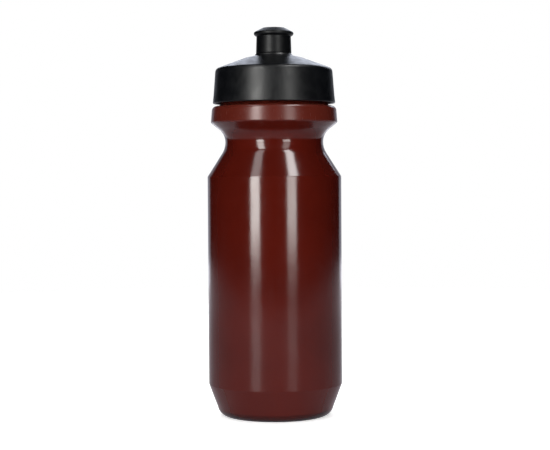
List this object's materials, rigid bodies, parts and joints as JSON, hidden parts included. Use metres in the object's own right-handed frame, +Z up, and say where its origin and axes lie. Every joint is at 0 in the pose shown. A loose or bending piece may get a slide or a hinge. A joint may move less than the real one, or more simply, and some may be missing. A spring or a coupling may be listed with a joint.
{
  "type": "sports squeeze bottle",
  "caption": "Squeeze bottle with a straight barrel, a finger groove, a screw lid and a push-pull drinking nozzle.",
  "frame": {"origin": "centre of the base, on the surface that the bottle stands on", "axes": "+Z up along the bottle's axis; the bottle is round, so X and Y are free: -Y is its front"},
  "size_m": [0.0734, 0.0734, 0.2138],
  "materials": {
    "bottle_plastic": "dark maroon LDPE, satin gloss with a fine grain",
    "lid_plastic": "black polypropylene, finely textured and matte",
    "nozzle_core_plastic": "black polypropylene, smooth",
    "mouthpiece_rubber": "black thermoplastic elastomer, soft satin",
    "seal_silicone": "translucent grey-white silicone, satin"
  },
  "bodies": {
    "bottle": {"bottle_body": "bottle_plastic"},
    "gasket": {"lid_gasket": "seal_silicone"},
    "lid": {"lid": "lid_plastic", "spout_o_ring": "seal_silicone"},
    "nozzle": {"nozzle_core": "nozzle_core_plastic", "mouthpiece": "mouthpiece_rubber"}
  },
  "joints": [
    {"name": "lid_lift", "type": "slide", "parent": "bottle", "child": "gasket", "axis": [0, 0, 1], "range_m": [0, 0.0181]},
    {"name": "lid_twist", "type": "hinge", "parent": "gasket", "child": "lid", "pos_m": [0, 0, 0.18], "axis": [0, 0, 1], "range_deg": [0, 1080]},
    {"name": "nozzle_pull", "type": "slide", "parent": "lid", "child": "nozzle", "axis": [0, 0, 1], "range_m": [0, 0.0055]}
  ],
  "couplings": [
    {"joint": "lid_lift", "follows": "lid_twist", "m_per_rad": 0.00095493}
  ]
}
